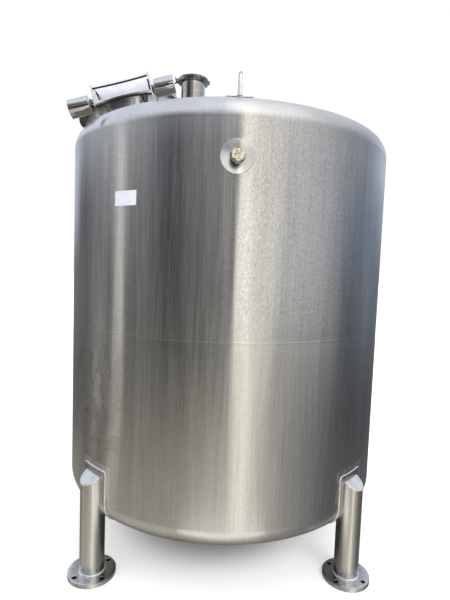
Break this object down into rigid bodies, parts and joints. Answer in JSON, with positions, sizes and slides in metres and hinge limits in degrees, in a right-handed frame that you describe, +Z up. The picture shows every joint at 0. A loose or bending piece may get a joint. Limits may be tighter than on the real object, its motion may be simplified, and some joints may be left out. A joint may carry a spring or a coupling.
{
  "type": "stainless steel tank",
  "caption": "Upright round stainless steel tank with dished ends on pipe legs with bolted feet, a hinged manway lid, a capped top nozzle, a side port and lifting eyes.",
  "frame": {"origin": "the floor point on the tank's axis, between the four feet", "axes": "+Z up along the tank's axis, -Y towards the side with the port, -X towards the manway"},
  "size_m": [1.7127, 1.734, 2.4176],
  "materials": {
    "shell": "brushed, vertical grain",
    "leg": "satin",
    "ground_steel": "ground matt",
    "polished": "mirror polished stainless steel",
    "gasket": "matt",
    "knob": "black, slight sheen",
    "plug": "pale cream, soft"
  },
  "bodies": {
    "tank": {"shell_lower_front": "shell", "shell_lower_right": "shell", "shell_lower_back": "shell", "shell_lower_left": "shell", "shell_upper_front": "shell", "shell_upper_right": "shell", "shell_upper_back": "shell", "shell_upper_left": "shell", "top_head": "shell", "bottom_head": "shell", "port_boss": "ground_steel", "port_plug": "plug", "leg_pipe_front_left": "leg", "leg_cap_front_left": "ground_steel", "leg_pad_front_left": "leg", "foot_flange_front_left": "leg", "leg_pipe_front_right": "leg", "leg_cap_front_right": "ground_steel", "leg_pad_front_right": "leg", "foot_flange_front_right": "leg", "leg_pipe_back_right": "leg", "leg_cap_back_right": "ground_steel", "leg_pad_back_right": "leg", "foot_flange_back_right": "leg", "leg_pipe_back_left": "leg", "leg_cap_back_left": "ground_steel", "leg_pad_back_left": "leg", "foot_flange_back_left": "leg", "eye_pad_front": "ground_steel", "eye_bar_front": "polished", "neck_post_front": "polished", "bolt_lug_front": "polished", "eye_pad_back": "ground_steel", "eye_bar_back": "polished", "neck_post_back": "polished", "bolt_lug_back": "polished", "nozzle_pipe": "polished", "nozzle_cap": "polished", "nozzle_clamp": "polished", "nozzle_clamp_bolt": "polished", "manway_neck": "polished", "hinge_barrel_left": "polished", "hinge_barrel_right": "polished", "hinge_bracket_left": "polished", "hinge_bracket_right": "polished", "hinge_shaft": "polished", "outlet_stub": "polished", "outlet_cap": "polished", "manway_gasket": "gasket"},
    "manway_lid": {"lid": "polished", "lid_cover": "polished", "lid_cheek_left": "polished", "lid_cheek_right": "polished", "lid_handle": "polished"},
    "bolt_front": {"swing_bolt_front": "polished", "bolt_knob_front": "knob"},
    "bolt_back": {"swing_bolt_back": "polished", "bolt_knob_back": "knob"}
  },
  "joints": [
    {"name": "lid_hinge", "type": "hinge", "parent": "tank", "child": "manway_lid", "pos_m": [-0.57221, -0.335, 2.27763], "axis": [0.9607, 0, 0.2775], "range_deg": [0, 95]},
    {"name": "bolt_swing_front", "type": "hinge", "parent": "tank", "child": "bolt_front", "pos_m": [-0.46558, -0.27132, 2.34381], "axis": [-0.8777, -0.4067, -0.2535], "range_deg": [0, 35]},
    {"name": "bolt_swing_back", "type": "hinge", "parent": "tank", "child": "bolt_back", "pos_m": [-0.6977, 0.27132, 2.27677], "axis": [0.8777, 0.4067, 0.2535], "range_deg": [0, 150]}
  ]
}
